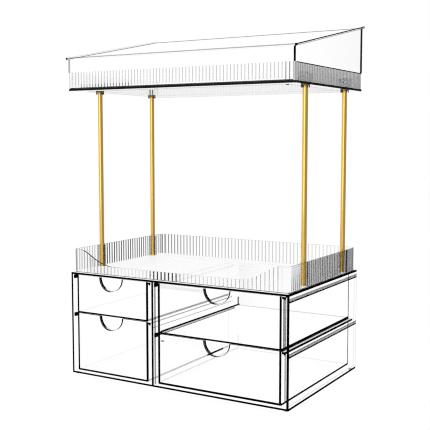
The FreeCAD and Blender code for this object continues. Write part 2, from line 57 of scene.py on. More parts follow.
class Tree:
    """One material's nodes. Positions are in millimetres in the object's own frame."""

    def __init__(self, name):
        self.material = bpy.data.materials.new(name)
        self.material.use_nodes = True
        self.nodes = self.material.node_tree.nodes
        self.links = self.material.node_tree.links
        self.nodes.clear()
        self.out = self.nodes.new("ShaderNodeOutputMaterial")
        self.where = self.nodes.new("ShaderNodeTexCoord")
        scaled = self.nodes.new("ShaderNodeVectorMath")
        scaled.operation = "SCALE"
        scaled.inputs["Scale"].default_value = 1000.0
        self.links.new(self.where.outputs["Object"], scaled.inputs[0])
        self.x, self.y, self.z = self.split(scaled.outputs[0])
        self.place = scaled.outputs[0]
        geometry = self.nodes.new("ShaderNodeNewGeometry")
        self.inside = geometry.outputs["Backfacing"]
        self.outside = self.math("SUBTRACT", 1.0, self.inside)
        outward = self.nodes.new("ShaderNodeVectorMath")
        outward.operation = "SCALE"
        self.links.new(self.where.outputs["Normal"], outward.inputs[0])
        self.links.new(self.math("MULTIPLY_ADD", self.inside, -2.0, 1.0), outward.inputs["Scale"])
        self.nx, self.ny, self.nz = self.split(outward.outputs[0])

    def split(self, vector):
        node = self.nodes.new("ShaderNodeSeparateXYZ")
        self.links.new(vector, node.inputs[0])
        return node.outputs

    def plug(self, source, socket):
        if isinstance(source, (int, float, tuple)):
            socket.default_value = source
        else:
            self.links.new(source, socket)

    def math(self, operation, *inputs, clamp=False):
        node = self.nodes.new("ShaderNodeMath")
        node.operation = operation
        node.use_clamp = clamp
        for socket, source in zip(node.inputs, inputs):
            self.plug(source, socket)
        return node.outputs[0]

    def near(self, value, middle, reach):
        """1 where value lies within reach of middle, else 0."""
        return self.math("COMPARE", value, middle, reach)

    def between(self, value, low, high):
        return self.near(value, (low + high) / 2, (high - low) / 2)

    def turned(self, part, limit):
        """1 where a part of the direction that a face looks in lies beyond limit, away from 0."""
        low, high = sorted((limit, math.copysign(1.1, limit)))
        return self.between(part, low, high)

    def upright(self):
        """1 on upright faces."""
        return self.near(self.nz, 0.0, FACE_TOLERANCE)

    def ramp(self, value, low, high):
        """0 below low, 1 above high, smooth between them; low may be the larger."""
        node = self.nodes.new("ShaderNodeMapRange")
        node.interpolation_type = "SMOOTHSTEP"
        self.plug(value, node.inputs["Value"])
        node.inputs["From Min"].default_value = low
        node.inputs["From Max"].default_value = high
        return node.outputs[0]

    def times(self, *factors):
        result = factors[0]
        for factor in factors[1:]:
            result = self.math("MULTIPLY", result, factor)
        return result

    def most(self, *values):
        result = values[0]
        for value in values[1:]:
            result = self.math("MAXIMUM", result, value)
        return result

    def noise(self, scale, detail=2.0, stretch=(1, 1, 1)):
        """Noise whose grains are about 1 / scale millimetres, stretched by the three factors."""
        mapping = self.nodes.new("ShaderNodeMapping")
        mapping.inputs["Scale"].default_value = stretch
        self.links.new(self.place, mapping.inputs[0])
        node = self.nodes.new("ShaderNodeTexNoise")
        node.inputs["Scale"].default_value = scale
        node.inputs["Detail"].default_value = detail
        self.links.new(mapping.outputs[0], node.inputs["Vector"])
        return node.outputs["Fac"]

    def spread(self, value, low, high):
        """Takes a value from 0 to 1 to the range from low to high."""
        return self.math("MULTIPLY_ADD", value, high - low, low)

    def blend(self, share, first, second):
        node = self.nodes.new("ShaderNodeMix")
        node.data_type = "RGBA"
        self.plug(share, node.inputs[0])
        for socket, colour in ((node.inputs[6], first), (node.inputs[7], second)):
            if isinstance(colour, tuple):
                socket.default_value = (*colour[:3], 1.0)
            else:
                self.links.new(colour, socket)
        return node.outputs[2]

    def bump(self, height, distance, strength):
        node = self.nodes.new("ShaderNodeBump")
        node.inputs["Strength"].default_value = strength
        node.inputs["Distance"].default_value = distance
        self.links.new(height, node.inputs["Height"])
        return node.outputs[0]

    def shade(self, colour, roughness, metallic=0.0, normal=None, specular=0.5):
        node = self.nodes.new("ShaderNodeBsdfPrincipled")
        self.plug((*colour, 1.0) if isinstance(colour, tuple) else colour, node.inputs["Base Color"])
        self.plug(roughness, node.inputs["Roughness"])
        node.inputs["Metallic"].default_value = metallic
        node.inputs["IOR"].default_value = REFRACTIVE_INDEX
        node.inputs["Specular IOR Level"].default_value = specular
        if normal is not None:
            self.links.new(normal, node.inputs["Normal"])
        return node.outputs[0]

    def clear(self, colour):
        node = self.nodes.new("ShaderNodeBsdfTransparent")
        self.plug((*colour, 1.0) if isinstance(colour, tuple) else colour, node.inputs[0])
        return node.outputs[0]

    def mix(self, share, first, second):
        node = self.nodes.new("ShaderNodeMixShader")
        self.plug(share, node.inputs[0])
        self.links.new(first, node.inputs[1])
        self.links.new(second, node.inputs[2])
        return node.outputs[0]

    def finish(self, shader):
        self.links.new(shader, self.out.inputs[0])
        return self.material


FACES = {
    "left": ("nx", -1),
    "right": ("nx", 1),
    "front": ("ny", -1),
    "back": ("ny", 1),
    "bottom": ("nz", -1),
    "top": ("nz", 1),
}


def facing(tree, side):
    """1 on faces that look to that side of the object."""
    axis, sign = FACES[side]
    return tree.near(getattr(tree, axis), sign, FACE_TOLERANCE)


class ShadeMarks:
    """The painted shade of one piece of acrylic, standing in for the shade and dark reflections of
    refraction, gathered one by one; the darkest wins.
    """

    def __init__(self, tree):
        self.tree = tree
        self.near = None
        self.far = None

    def add(self, near, far, *masks):
        """Marks where all masks are 1: near is how dark it is from outside the piece, far from within."""
        place = self.tree.times(*masks)
        if near:
            mark = self.tree.times(place, near)
            self.near = mark if self.near is None else self.tree.most(self.near, mark)
        if far:
            mark = self.tree.times(place, far)
            self.far = mark if self.far is None else self.tree.most(self.far, mark)

    def shown(self):
        shown = 0.0
        if self.near is not None:
            shown = self.tree.times(self.near, self.tree.outside)
        if self.far is not None:
            shown = self.tree.most(shown, self.tree.times(self.far, self.tree.inside))
        return shown


def acrylic(tree, marks, colour=PAINTED_SHADE_BLACK, gloss=None):
    """Clear acrylic: light goes straight through, with painted shade where marked, and mirrors where gloss
    is 1.
    """
    cloud = tree.noise(0.02)
    streak = tree.noise(0.35, 3.0)
    depth = tree.times(marks.shown(), tree.spread(streak, 1.0, 1.06))
    body = tree.shade(colour, tree.spread(streak, 0.3, 0.5), specular=0.0)
    tint = tree.blend(cloud, (0.9990, 0.9992, 0.9995), (1.0, 1.0, 1.0))
    shader = tree.mix(tree.math("MINIMUM", depth, 1.0), tree.clear(tint), body)
    if gloss is not None:
        shine = tree.nodes.new("ShaderNodeBsdfGlossy")
        tree.plug(tree.spread(streak, 0.26, 0.34), shine.inputs["Roughness"])
        fresnel = tree.nodes.new("ShaderNodeFresnel")
        fresnel.inputs["IOR"].default_value = REFRACTIVE_INDEX
        share = tree.times(fresnel.outputs[0], gloss, tree.outside, 0.3)
        shader = tree.mix(share, shader, shine.outputs[0])
    return tree.finish(shader)


def give(node, material):
    """Puts a material on a CAD node."""
    node.data.materials.clear()
    node.data.materials.append(material)


def box(name):
    """The lower and upper corners of a CAD node, in millimetres."""
    return tuple(corner * 1000 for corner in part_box(name))


# ---------------------------------------------------------------------------
# Flat sheets: clear through their broad faces, with painted shade on their cut edges
# ---------------------------------------------------------------------------


class Strip:
    """A strip of painted shade along one side of a sheet, between two places on an axis."""

    def __init__(self, side, axis, start, end, near, far=0.0):
        self.side = side
        self.axis = axis
        self.span = (start, end)
        self.near = near
        self.far = far


def sheet(name, *strips, fill=0.0, **sides):
    """A sheet with painted shade on its named sides, as dark as the numbers say; fill paints grey shade
    over its right side, growing to the back.
    """
    tree = Tree(f"{name}_acrylic")
    marks = ShadeMarks(tree)
    for side, strength in sides.items():
        marks.add(strength, 0.0, facing(tree, side))
    for strip in strips:
        along = tree.between(getattr(tree, strip.axis), *strip.span)
        marks.add(strip.near, strip.far, facing(tree, strip.side), along)
    if fill:
        marks.add(fill, 0.0, facing(tree, "right"), tree.ramp(tree.y, -100, 120))
    give(nodes[name], acrylic(tree, marks))


def bands(side, inner_piece, *spans):
    """Painted shade in strips on an outer wall where a piece behind it shows through, from that piece's
    foot upwards.
    """
    foot = box(inner_piece)[0].z
    return [Strip(side, "z", foot + start, foot + end, strength) for start, end, strength in spans]


def cabinet_wall(side, *strips):
    """An outer wall of the cabinet, with painted shade on its front edge, the floor's edge and the strips
    given.
    """
    low, _ = box(f"cabinet_{side}_wall")
    sheet(
        f"cabinet_{side}_wall",
        Strip(side, "y", low.y - 0.5, low.y + 1.0, BLACK),
        Strip(side, "z", low.z - 0.7, low.z + 0.4, 1.0),
        *strips,
        front=BLACK, back=BLACK,
    )


def cabinet():
    """The cabinet's sheets. Ledges, the rims on them and a drawer's floor show through the walls as painted
    shade on the walls.
    """
    low, high = box("cabinet_top_panel")
    sheet(
        "cabinet_top_panel",
        Strip("top", "y", low.y - 0.5, low.y + 1.0, 1.0),
        Strip("top", "x", high.x - 1.8, high.x + 0.5, 1.0),
        front=BLACK, right=BLACK, left=BLACK, back=BLACK,
    )
    sheet("cabinet_bottom", front=BLACK, right=BLACK, left=BLACK, back=BLACK)
    cabinet_wall(
        "left",
        *bands("left", "left_wall_upper_runner", (0.2, 1.8, 1.0), (1.8, 5.0, 0.65)),
        *bands("left", "left_wall_lower_runner", (0.0, 1.9, 0.95), (1.9, 5.0, 0.65)),
    )
    cabinet_wall(
        "right",
        *bands("right", "right_wall_upper_runner", (0.2, 1.8, 1.0), (1.8, 5.0, 0.68)),
        *bands("right", "right_wall_lower_runner", (0.1, 2.0, 0.95), (2.0, 3.7, 0.6), (3.7, 5.0, 0.8)),
        *bands("right", "lower_right_drawer", (0.5, 1.3, 0.35)),
        Strip("right", "y", high.y - 1.1, high.y + 0.5, 0.35),
    )
    sheet("cabinet_back", left=0.2, right=0.2, top=0.2, bottom=0.2)
    sheet(
        "centre_divider",
        Strip("right", "y", low.y - 0.5, low.y + 0.4, BLACK),
        Strip("right", "y", low.y + 2.0, low.y + 5.5, 0.65),
        front=BLACK, back=0.6,
    )


def cover_panes():
    """The cover's upright panes, with painted shade on their edges. A side pane's edge shade goes on over
    the end of the pane beside it.
    """
    low, high = box("cover_front_pane")
    sheet("cover_left_pane", front=0.5, back=0.6, bottom=0.1, top=0.1)
    back_edge = Strip("back", "x", 0, BEYOND, 0.9, 0.95)
    sheet("cover_right_pane", back_edge, front=BLACK, bottom=0.1, fill=0.06)
    left_end = Strip("front", "x", low.x - SHEET, low.x + 0.7, 0.5)
    sheet("cover_front_pane", left_end, top=0.2, bottom=0.1)
    right_end = Strip("back", "x", high.x - 0.7, high.x + SHEET, 0.7)
    sheet("cover_back_pane", right_end, top=0.2, bottom=0.1)


def roof(name):
    """The sloping roof sheet: its cut edges show as two thin lines of painted shade, black at the corners'
    tips.
    """
    low, high = box(name)
    tree = Tree(f"{name}_acrylic")
    marks = ShadeMarks(tree)
    slope = ROOF_RISE / (high.y - low.y)
    under = tree.math("MULTIPLY_ADD", tree.y, slope, low.z - low.y * slope)
    height = tree.math("SUBTRACT", tree.z, under)
    upper, lower = tree.between(height, 1.3, 3.0), tree.between(height, -0.5, 0.9)
    marks.add(0.95, 0.0, facing(tree, "right"), upper)
    marks.add(0.6, 0.0, facing(tree, "right"), lower)
    marks.add(0.9, 0.2, facing(tree, "left"), upper)
    marks.add(0.5, 0.75, facing(tree, "left"), lower)
    marks.add(0.5, 0.0, facing(tree, "front"), upper)
    marks.add(0.9, 0.6, facing(tree, "back"), lower)
    tip = tree.between(tree.math("ABSOLUTE", tree.x), high.x - 2.3, BEYOND)
    front_end = tree.between(tree.y, -BEYOND, low.y + 1.6)
    back_end = tree.between(tree.y, high.y - 1.6, BEYOND)
    marks.add(BLACK, 0.0, tip, tree.most(front_end, back_end))
    give(nodes[name], acrylic(tree, marks))


def runner(name, side, edge):
    """A ledge with painted shade along its lower edge on the side given; the outer walls carry their
    ledges' painted shade.
    """
    low, _ = box(name)
    tree = Tree(f"{name}_acrylic")
    marks = ShadeMarks(tree)
    marks.add(edge, 0.0, facing(tree, side), tree.between(tree.z, low.z + EDGE, low.z + 1.0))
    marks.add(0.3, 0.0, facing(tree, "back"))
    give(nodes[name], acrylic(tree, marks, colour=PAINTED_SHADE_WARM))


cabinet()
cover_panes()
roof("cover_roof")
for level, edge in (("upper", 0.1), ("lower", 0.55)):
    runner(f"left_wall_{level}_runner", "left", 0.0)
    runner(f"divider_left_{level}_runner", "right", edge)
    runner(f"divider_right_{level}_runner", "left", 0.3)
    runner(f"right_wall_{level}_runner", "right", 0.0)


# ---------------------------------------------------------------------------
# Drawers
# ---------------------------------------------------------------------------


class Drawer:
    """One drawer's painted shade, placed in millimetres from its own box. The rest is how dark a mark is.
    """

    def __init__(self, name):
        self.name = name
        self.low, self.high = box(name)
        self.tree = Tree(f"{name}_acrylic")
        self.marks = ShadeMarks(self.tree)
        tree = self.tree
        self.half = (self.high.x - self.low.x) / 2 - RIM_REACH
        self.offset = tree.math("SUBTRACT", tree.x, (self.low.x + self.high.x) / 2)
        self.across = tree.math("ABSOLUTE", self.offset)
        self.down = tree.math("SUBTRACT", self.high.z, tree.z)
        self.up = tree.math("SUBTRACT", tree.z, self.low.z)
        self.behind = tree.math("SUBTRACT", tree.y, self.low.y)
        self.front_end = tree.between(self.behind, EDGE, 1.9)
        self.face = tree.times(facing(tree, "front"), tree.between(self.behind, EDGE, 0.6))
        self.level = tree.times(facing(tree, "top"), tree.between(self.down, EDGE, 0.3))
        self.round_below = tree.between(tree.nz, -0.97, -0.12)
        self.round_above = tree.between(tree.nz, 0.12, 0.97)

    def put(self, near, far, *spans):
        """A mark where every (value, start, end) of spans holds; a plain mask is passed as it is."""
        masks = [self.tree.between(*span) if isinstance(span, tuple) else span for span in spans]
        self.marks.add(near, far, *masks)

    def front(self, left_line, right_start, right_end, base, brow):
        """Painted shade where the side walls and the floor are seen end on, on the brow on top, and on the
        rim with its lips.
        """
        half = self.half
        self.put(BLACK, 0.0, self.front_end, (self.offset, -half - 0.2, left_line - half))
        self.put(BLACK, 0.0, self.front_end, (self.offset, half - right_start, half - right_end))
        self.put(BLACK, 0.0, self.front_end, (self.up, EDGE, base))
        self.put(brow, 0.0, self.level, (self.behind, EDGE, DRAWER_WALL + 0.1), (self.across, EDGE, half))
        left_rim, right_rim = (self.offset, -BEYOND, 0.1 - half), (self.offset, half - 0.2, BEYOND)
        right_lip = (self.offset, half + RIM_REACH - LIP_THICKNESS, BEYOND)
        self.put(BLACK, 0.0, (self.behind, EDGE, 5), (self.down, EDGE, LIP_DEPTH + 0.2), left_rim)
        self.put(BLACK, 0.0, self.face, right_rim, (self.down, EDGE, RIM_DEPTH + 0.8))
        self.put(0.3, 0.0, self.face, right_lip, (self.down, EDGE, LIP_DEPTH))

    def right_side(self, slab, rim, rim_span, top, rim_top):
        """The right side's long lines of painted shade: the floor's edge, the rim's edge and the tops of
        wall and rim.
        """
        half, tree = self.half, self.tree
        turned = tree.turned(tree.nx, 0.05)
        self.put(slab, 0.0, turned, (self.across, half - DRAWER_WALL, half + 0.2), (self.up, EDGE, 3.0))
        outermost = tree.between(self.offset, half + RIM_REACH - 0.2, BEYOND)
        edge = tree.times(facing(tree, "right"), outermost)
        self.put(rim, 0.0, edge, (self.down, EDGE, rim_span))
        self.put(top, 0.0, self.level, (self.offset, half - DRAWER_WALL, half + 0.8))
        self.put(top * 0.3, 0.0, self.level, (self.offset, half + 0.8, BEYOND))
        self.put(rim_top, 0.0, self.level, (self.offset, half + RIM_REACH - 1.2, BEYOND))

    def left_side(self, slab, inner, lip, fill):
        """The left side's lines of painted shade: the floor, the rim and its lip, some of which show
        through the drawer.
        """
        half, tree = self.half, self.tree
        turned = tree.turned(tree.nx, -0.2)
        self.put(1.0, 0.0, turned, (self.across, half - DRAWER_WALL, half + 0.2), (self.up, EDGE, 2.1))
        wall = (self.offset, -BEYOND, DRAWER_WALL - half)
        self.put(slab, slab, self.round_below, wall, (self.up, EDGE, 3))
        inner_corner = (self.offset, -BEYOND, DRAWER_WALL + 2 - half)
        self.put(inner, inner, self.round_above, inner_corner, (self.up, 1, 5))
        outermost = tree.between(self.offset, -BEYOND, 0.2 - half - RIM_REACH)
        edge = tree.times(facing(tree, "left"), outermost)
        self.put(0.9, 0.0, edge, (self.down, EDGE, RIM_DEPTH))
        self.put(0.5, lip, edge, (self.down, LIP_DEPTH - 0.8, LIP_DEPTH + 0.5))
        self.put(0.0, fill, edge)

    def back(self, edge, corner, corner_rise, wall):
        """Painted shade on the back wall's lower and upright edges."""
        tree = self.tree
        at_back = tree.between(tree.y, self.high.y - 4, self.high.y + 1)
        self.put(0.9, edge, at_back, self.round_below, (self.up, EDGE, 4))
        round_corner = tree.between(tree.math("ABSOLUTE", tree.nx), 0.2, 0.98)
        corners = tree.times(at_back, round_corner, tree.near(tree.nz, 0, 0.1))
        self.put(0.7, 0.0, corners, tree.turned(tree.ny, 0.1))
        self.put(0.0, corner, corners, (self.offset, -BEYOND, 0), (self.up, 0, corner_rise))
        left_part = tree.ramp(self.offset, 45 - self.half, -self.half)
        self.put(wall, 0.0, facing(tree, "front"), (tree.y, self.high.y - 3, BEYOND), left_part)

    def notch(self):
        """Painted shade on the half-round finger notch: its left half black and thickest at the top, its
        right half thin.
        """
        tree, across, down = self.tree, self.across, self.down
        squares = tree.math("ADD", tree.times(across, across), tree.times(down, down))
        radius = tree.math("SQRT", squares)
        upper = tree.between(self.down, 0.1, 18)
        left_part = tree.ramp(self.offset, 8.0, -11.0)
        edge = tree.spread(left_part, NOTCH_RADIUS, NOTCH_RADIUS + 2.2)
        within_edge = tree.math("LESS_THAN", radius, edge)
        ring = tree.times(tree.between(radius, NOTCH_RADIUS - 0.1, 20), within_edge)
        self.marks.add(0.93, 0.0, self.face, upper, ring)
        in_wall = tree.times(tree.between(self.behind, -0.1, DRAWER_WALL + 0.1), upper)
        cut_face = tree.times(in_wall, tree.near(radius, NOTCH_RADIUS, 0.15))
        steep = tree.ramp(tree.nz, 0.99, 0.75)
        self.marks.add(1.0, 0.0, cut_face, steep)
        self.marks.add(0.4, 0.4, cut_face)
        self.marks.add(0.0, 1.0, cut_face, tree.ramp(self.offset, 3.0, 8.0))
        right_ring = tree.between(radius, NOTCH_RADIUS - 0.1, NOTCH_RADIUS + 0.7)
        self.marks.add(0.85, 0.0, self.face, upper, right_ring, tree.ramp(self.offset, 6.0, 12.0))

    def shade_band(self, start, end, strength):
        """A grey upright band of painted shade on the right side wall, between two distances from the
        front.
        """
        side = facing(self.tree, "right")
        wall = (self.across, self.half - 0.1, self.half + 0.1)
        self.put(strength, 0.0, side, (self.behind, start, end), wall)

    def finish(self):
        self.notch()
        give(nodes[self.name], acrylic(self.tree, self.marks))


def upper_left_drawer():
    drawer = Drawer("upper_left_drawer")
    drawer.front(left_line=3.5, right_start=1.9, right_end=-0.1, base=2.3, brow=0.3)
    drawer.right_side(slab=0.62, rim=0.1, rim_span=1.2, top=0.0, rim_top=0.0)
    drawer.left_side(slab=0.06, inner=0.06, lip=0.0, fill=0.0)
    drawer.back(edge=0.04, corner=0.05, corner_rise=20, wall=0.0)
    drawer.finish()


def lower_left_drawer():
    drawer = Drawer("lower_left_drawer")
    drawer.front(left_line=3.5, right_start=1.9, right_end=-0.1, base=2.6, brow=1.0)
    drawer.right_side(slab=0.4, rim=0.65, rim_span=1.2, top=0.0, rim_top=0.0)
    turned = drawer.tree.turned(drawer.tree.nx, 0.05)
    wall = (drawer.across, drawer.half - DRAWER_WALL, drawer.half + 0.2)
    # painted shade: the right wall's foot is black over part of its length
    drawer.put(BLACK, 0.0, turned, wall, (drawer.up, EDGE, 3.0), (drawer.tree.y, 38, 80))
    drawer.left_side(slab=0.04, inner=0.04, lip=0.0, fill=0.0)
    drawer.back(edge=0.04, corner=0.05, corner_rise=20, wall=0.0)
    drawer.finish()


def upper_right_drawer():
    drawer = Drawer("upper_right_drawer")
    drawer.front(left_line=3.9, right_start=3.0, right_end=0.6, base=2.3, brow=0.3)
    drawer.right_side(slab=1.0, rim=1.0, rim_span=1.0, top=0.0, rim_top=1.0)
    drawer.left_side(slab=1.0, inner=1.0, lip=0.15, fill=0.0)
    drawer.back(edge=0.3, corner=0.8, corner_rise=12, wall=0.06)
    # grey bands of painted shade on the right side wall
    shade_bands = ((2.8, 7.2, 0.73), (7.2, 8.2, 0.4), (8.2, 10.6, 0.75), (190.6, 193.4, 0.8))
    for start, end, strength in shade_bands:
        drawer.shade_band(start, end, strength)
    # a pale band of painted shade under the front's top edge, at its left
    left_part = (drawer.offset, -BEYOND, 62 - drawer.half)
    drawer.put(0.13, 0.0, drawer.face, (drawer.down, 1.4, 5.2), left_part)
    drawer.finish()


def lower_right_drawer():
    drawer = Drawer("lower_right_drawer")
    drawer.front(left_line=3.9, right_start=3.0, right_end=0.6, base=2.9, brow=1.0)
    drawer.right_side(slab=1.0, rim=BLACK, rim_span=2.0, top=0.95, rim_top=0.95)
    drawer.left_side(slab=0.08, inner=0.08, lip=0.9, fill=0.5)
    drawer.back(edge=0.12, corner=0.1, corner_rise=20, wall=0.0)
    # grey bands of painted shade on the right side wall
    for start, end, strength in ((7.0, 10.6, 0.62), (190.6, 193.4, 0.8)):
        drawer.shade_band(start, end, strength)
    drawer.finish()


upper_left_drawer()
lower_left_drawer()
upper_right_drawer()
lower_right_drawer()


# ---------------------------------------------------------------------------
# Fluted trays
# ---------------------------------------------------------------------------


class Tray:
    """A fluted tray's painted shade. Flutes run up the outer faces of its walls between the corners."""

    def __init__(self, name, floor, corner_radius):
        self.name = name
        self.low, self.high = low, high = box(name)
        self.tree = tree = Tree(f"{name}_acrylic")
        self.marks = ShadeMarks(tree)
        self.upright = tree.times(tree.upright(), tree.between(tree.z, floor + 0.02, BEYOND))
        self.side_tilt = tree.math("ABSOLUTE", tree.ny)
        self.end_tilt = tree.math("ABSOLUTE", tree.nx)
        inset_x = tree.math("SUBTRACT", high.x, tree.math("ABSOLUTE", tree.x))
        off_middle = tree.math("ABSOLUTE", tree.math("SUBTRACT", tree.y, (low.y + high.y) / 2))
        inset_y = tree.math("SUBTRACT", (high.y - low.y) / 2, off_middle)
        straight = corner_radius + 0.2
        sides = tree.times(self.upright, self.skin(inset_x), tree.between(inset_y, straight, BEYOND))
        ends = tree.times(self.upright, self.skin(inset_y), tree.between(inset_x, straight, BEYOND))
        self.front_flutes = tree.times(ends, tree.turned(tree.ny, -0.5))
        self.back_flutes = tree.times(ends, tree.turned(tree.ny, 0.5))
        self.left_flutes = tree.times(sides, tree.turned(tree.nx, -0.5))
        self.right_flutes = tree.times(sides, tree.turned(tree.nx, 0.5))

    def skin(self, inset):
        """1 no deeper under the tray's outline than its flutes reach."""
        return self.tree.between(inset, EDGE, 1.2)

    def along(self, value, *stops):
        """A strength of painted shade that changes along value, from stops of (place, tone)."""
        node = self.tree.nodes.new("ShaderNodeValToRGB")
        first, last = stops[0][0], stops[-1][0]
        reach = last - first
        share = self.tree.math("DIVIDE", self.tree.math("SUBTRACT", value, first), reach)
        self.tree.links.new(share, node.inputs[0])
        ramp = node.color_ramp
        while len(ramp.elements) < len(stops):
            ramp.elements.new(0.5)
        for element, (place, tone) in zip(ramp.elements, stops):
            element.position = (place - first) / reach
            element.color = (tone, tone, tone, 1.0)
        return node.outputs[0]

    def corner(self, side, end, width, depth):
        """1 on the upright faces of the corner at one side, left or right, and one end, front or back."""
        low, high, tree = self.low, self.high, self.tree
        across = (low.x + EDGE, low.x + width) if side == "left" else (high.x - width, high.x - EDGE)
        back = (low.y + EDGE, low.y + depth) if end == "front" else (high.y - depth, high.y - EDGE)
        return tree.times(self.upright, tree.between(tree.x, *across), tree.between(tree.y, *back))

    def finish(self, gloss):
        material = acrylic(self.tree, self.marks, colour=PAINTED_SHADE_SOFT, gloss=facing(self.tree, gloss))
        give(nodes[self.name], material)


def lobe(tree, x, y, start):
    """1 on the parts of a rounded corner or a round sleeve that look along the direction (x, y)."""
    toward = tree.math("ADD", tree.times(tree.nx, x), tree.times(tree.ny, y))
    return tree.turned(toward, start)


def lower_tray_sides(tray):
    """Painted shade on the left wall, seen from within, and on the right wall, painted grey where a post
    stands behind it.
    """
    tree, add = tray.tree, tray.marks.add
    lines = tree.ramp(tray.side_tilt, 0.28, 0.4)
    tone = tray.along(tree.y, (-100, 0.4), (-45, 0.5), (-30, 0.95), (60, 0.85), (100, 0.6))
    add(0.9, 0.0, tray.left_flutes, lines)
    add(0.0, 1.0, tray.left_flutes, lines, tone)
    tone = tray.along(
        tree.y, (-100, 0.0), (-66, 0.0), (-64, 0.5), (-52, 0.5), (-50, 0.84), (74, 0.84), (76, 0.0),
        (100, 0.0),
    )
    add(1.0, 0.2, tray.right_flutes, lines, tone)
    near_front = tree.times(tray.right_flutes, tree.between(tree.y, -100, -65))
    add(1.0, 0.2, near_front, lines, tray.along(tree.z, (130, 1.0), (140, 0.95), (158, 0.45)))
    fill = tray.along(
        tree.y, (-100, 0.0), (-66, 0.12), (-65, 0.0), (-53, 0.0), (-52, 0.9), (-48, 0.9), (-47, 0.5),
        (49, 0.55), (50, 0.3), (63, 0.3), (64, 0.95), (68, 0.95), (69, 0.68), (100, 0.68),
    )
    add(1.0, 0.0, tray.right_flutes, fill)


def lower_tray_ends(tray):
    """Painted shade on the front wall, darkest in front of the divider, and on the back wall, palest at the
    right.
    """
    tree, add = tray.tree, tray.marks.add
    lines = tree.ramp(tray.end_tilt, 0.4, 0.54)
    tone = tray.along(tree.x, (-149, 0.2), (-132, 0.4), (-85, 0.3), (-42, 0.3), (0, 0.7), (149, 0.85))
    add(1.0, 0.0, tray.front_flutes, lines, tone)
    wide_lines = tree.ramp(tray.end_tilt, 0.3, 0.42)
    tone = tray.along(
        tree.x, (-149, 0.0), (-135, 0.1), (-118, 0.5), (-95, 0.45), (-70, 0.1), (-40, 0.2), (-26, 0.95),
        (4, 0.95), (18, 0.0), (149, 0.0),
    )
    add(1.0, 0.0, tray.front_flutes, wide_lines, tone)
    lines = tree.ramp(tray.end_tilt, 0.33, 0.47)
    tone = tray.along(tree.x, (-149, 0.85), (-100, 0.75), (-85, 0.55), (60, 0.35), (149, 0.15))
    add(0.8, 0.0, tray.back_flutes, lines)
    add(0.0, 1.0, tray.back_flutes, lines, tone)


def lower_tray_corners(tray):
    """Painted shade on the rounded corners; the front right one stays clear."""
    tree, add, back = tray.tree, tray.marks.add, tray.high.y
    add(0.38, 0.38, tray.corner("left", "front", 8.0, 8.0), lobe(tree, -ACROSS_X, -ACROSS_Y, 0.5))
    back_left = tray.corner("left", "back", 10.0, 8.0)
    for start, end in ((7.9, 7.2), (5.0, 4.1), (2.6, 1.9)):
        add(0.5, 0.8, back_left, tree.between(tree.y, back - start, back - end))
    back_right = tray.corner("right", "back", 8.0, 8.0)
    add(0.68, 0.0, back_right, lobe(tree, 0.9, 0.43, 0.5))
    add(1.0, 0.4, back_right, lobe(tree, ACROSS_X, ACROSS_Y, 0.9))


def lower_tray_edges(tray):
    """Painted shade on the walls' level tops, the edge of the front wall's scoop and the edge of the floor
    plate.
    """
    tree, add = tray.tree, tray.marks.add
    rim = tray.high.z - 0.5
    looking_up = tree.turned(tree.nz, 0.3)
    add(0.5, 0.0, looking_up, tree.between(tree.z, rim, BEYOND))
    scooped = tree.times(looking_up, tree.between(tree.z, TRAY_FLOOR + 0.5, rim))
    tone = tray.along(tree.x, (-149, 1.0), (-95, 1.0), (-75, 0.35), (40, 0.2), (149, 0.35))
    add(1.0, 0.0, scooped, tone)
    plate = tree.between(tree.z, tray.low.z - 0.1, TRAY_FLOOR + 0.1)
    plate_top = tree.between(tree.z, TRAY_FLOOR - 0.7, TRAY_FLOOR + 0.1)
    for side in ("left", "right"):
        add(0.85, 0.0, facing(tree, side), plate)
    for limit in (-0.5, 0.5):
        add(0.8, 0.0, tree.turned(tree.ny, limit), plate_top)


def upper_tray_walls(tray, rise):
    """Painted shade on all four fluted walls, rise being the height above the tray's floor."""
    tree, add = tray.tree, tray.marks.add
    lines = tree.ramp(tray.side_tilt, 0.25, 0.45)
    add(0.8, 0.1, tray.left_flutes, lines)
    add(0.5, 0.0, tray.left_flutes)
    add(0.68, 0.05, tray.right_flutes, lines)
    add(1.0, 0.0, tray.right_flutes, tray.along(rise, (0, 0.56), (18, 0.44)))
    add(1.0, 0.0, tree.most(tray.right_flutes, tray.left_flutes), tree.between(rise, 18.6, BEYOND))
    lines = tree.times(tray.front_flutes, tree.ramp(tray.end_tilt, 0.42, 0.56))
    add(0.42, 0.0, lines, tree.between(rise, 2.6, BEYOND))
    add(0.9, 0.0, lines, tree.between(rise, EDGE, 5.0), tree.between(tree.x, -135, -58))
    add(0.85, 0.0, lines, tree.between(tree.x, 140, BEYOND))
    add(0.9, 0.0, tray.front_flutes, tree.between(rise, EDGE, 1.2))
    add(0.5, 0.08, tray.back_flutes, tree.ramp(tray.end_tilt, 0.42, 0.56))


def upper_tray_edges(tray, rise):
    """Painted shade on the corners, the rim, the edge of the floor plate and the shallow step beneath it.
    """
    tree, add = tray.tree, tray.marks.add
    corners = []
    for side in ("left", "right"):
        for end, depth in (("front", 3.5), ("back", 3.7)):
            corners.append(tray.corner(side, end, 3.2, depth))
    corner = tree.most(*corners)
    add(0.6, 0.2, corner, tree.between(tree.ny, -0.95, -0.1))
    add(0.6, 0.0, corner, tree.between(tree.ny, 0.1, 0.95))
    add(0.35, 0.0, tree.turned(tree.nz, 0.5), tree.between(rise, 18, BEYOND))
    add(BLACK, 0.0, tree.upright(), tree.between(tree.z, CANOPY_LEVEL - 0.1, CANOPY_FLOOR + 0.1))
    step = tree.between(tree.z, tray.low.z - 0.1, CANOPY_LEVEL - 0.05)
    step_edge = tree.times(step, tree.upright())
    add(0.18, 0.05, step_edge)
    add(0.05, 0.0, step, facing(tree, "bottom"))
    add(1.0, 0.0, step_edge, tree.between(tree.x, 134.5, 140), tree.between(tree.y, -82, -76))


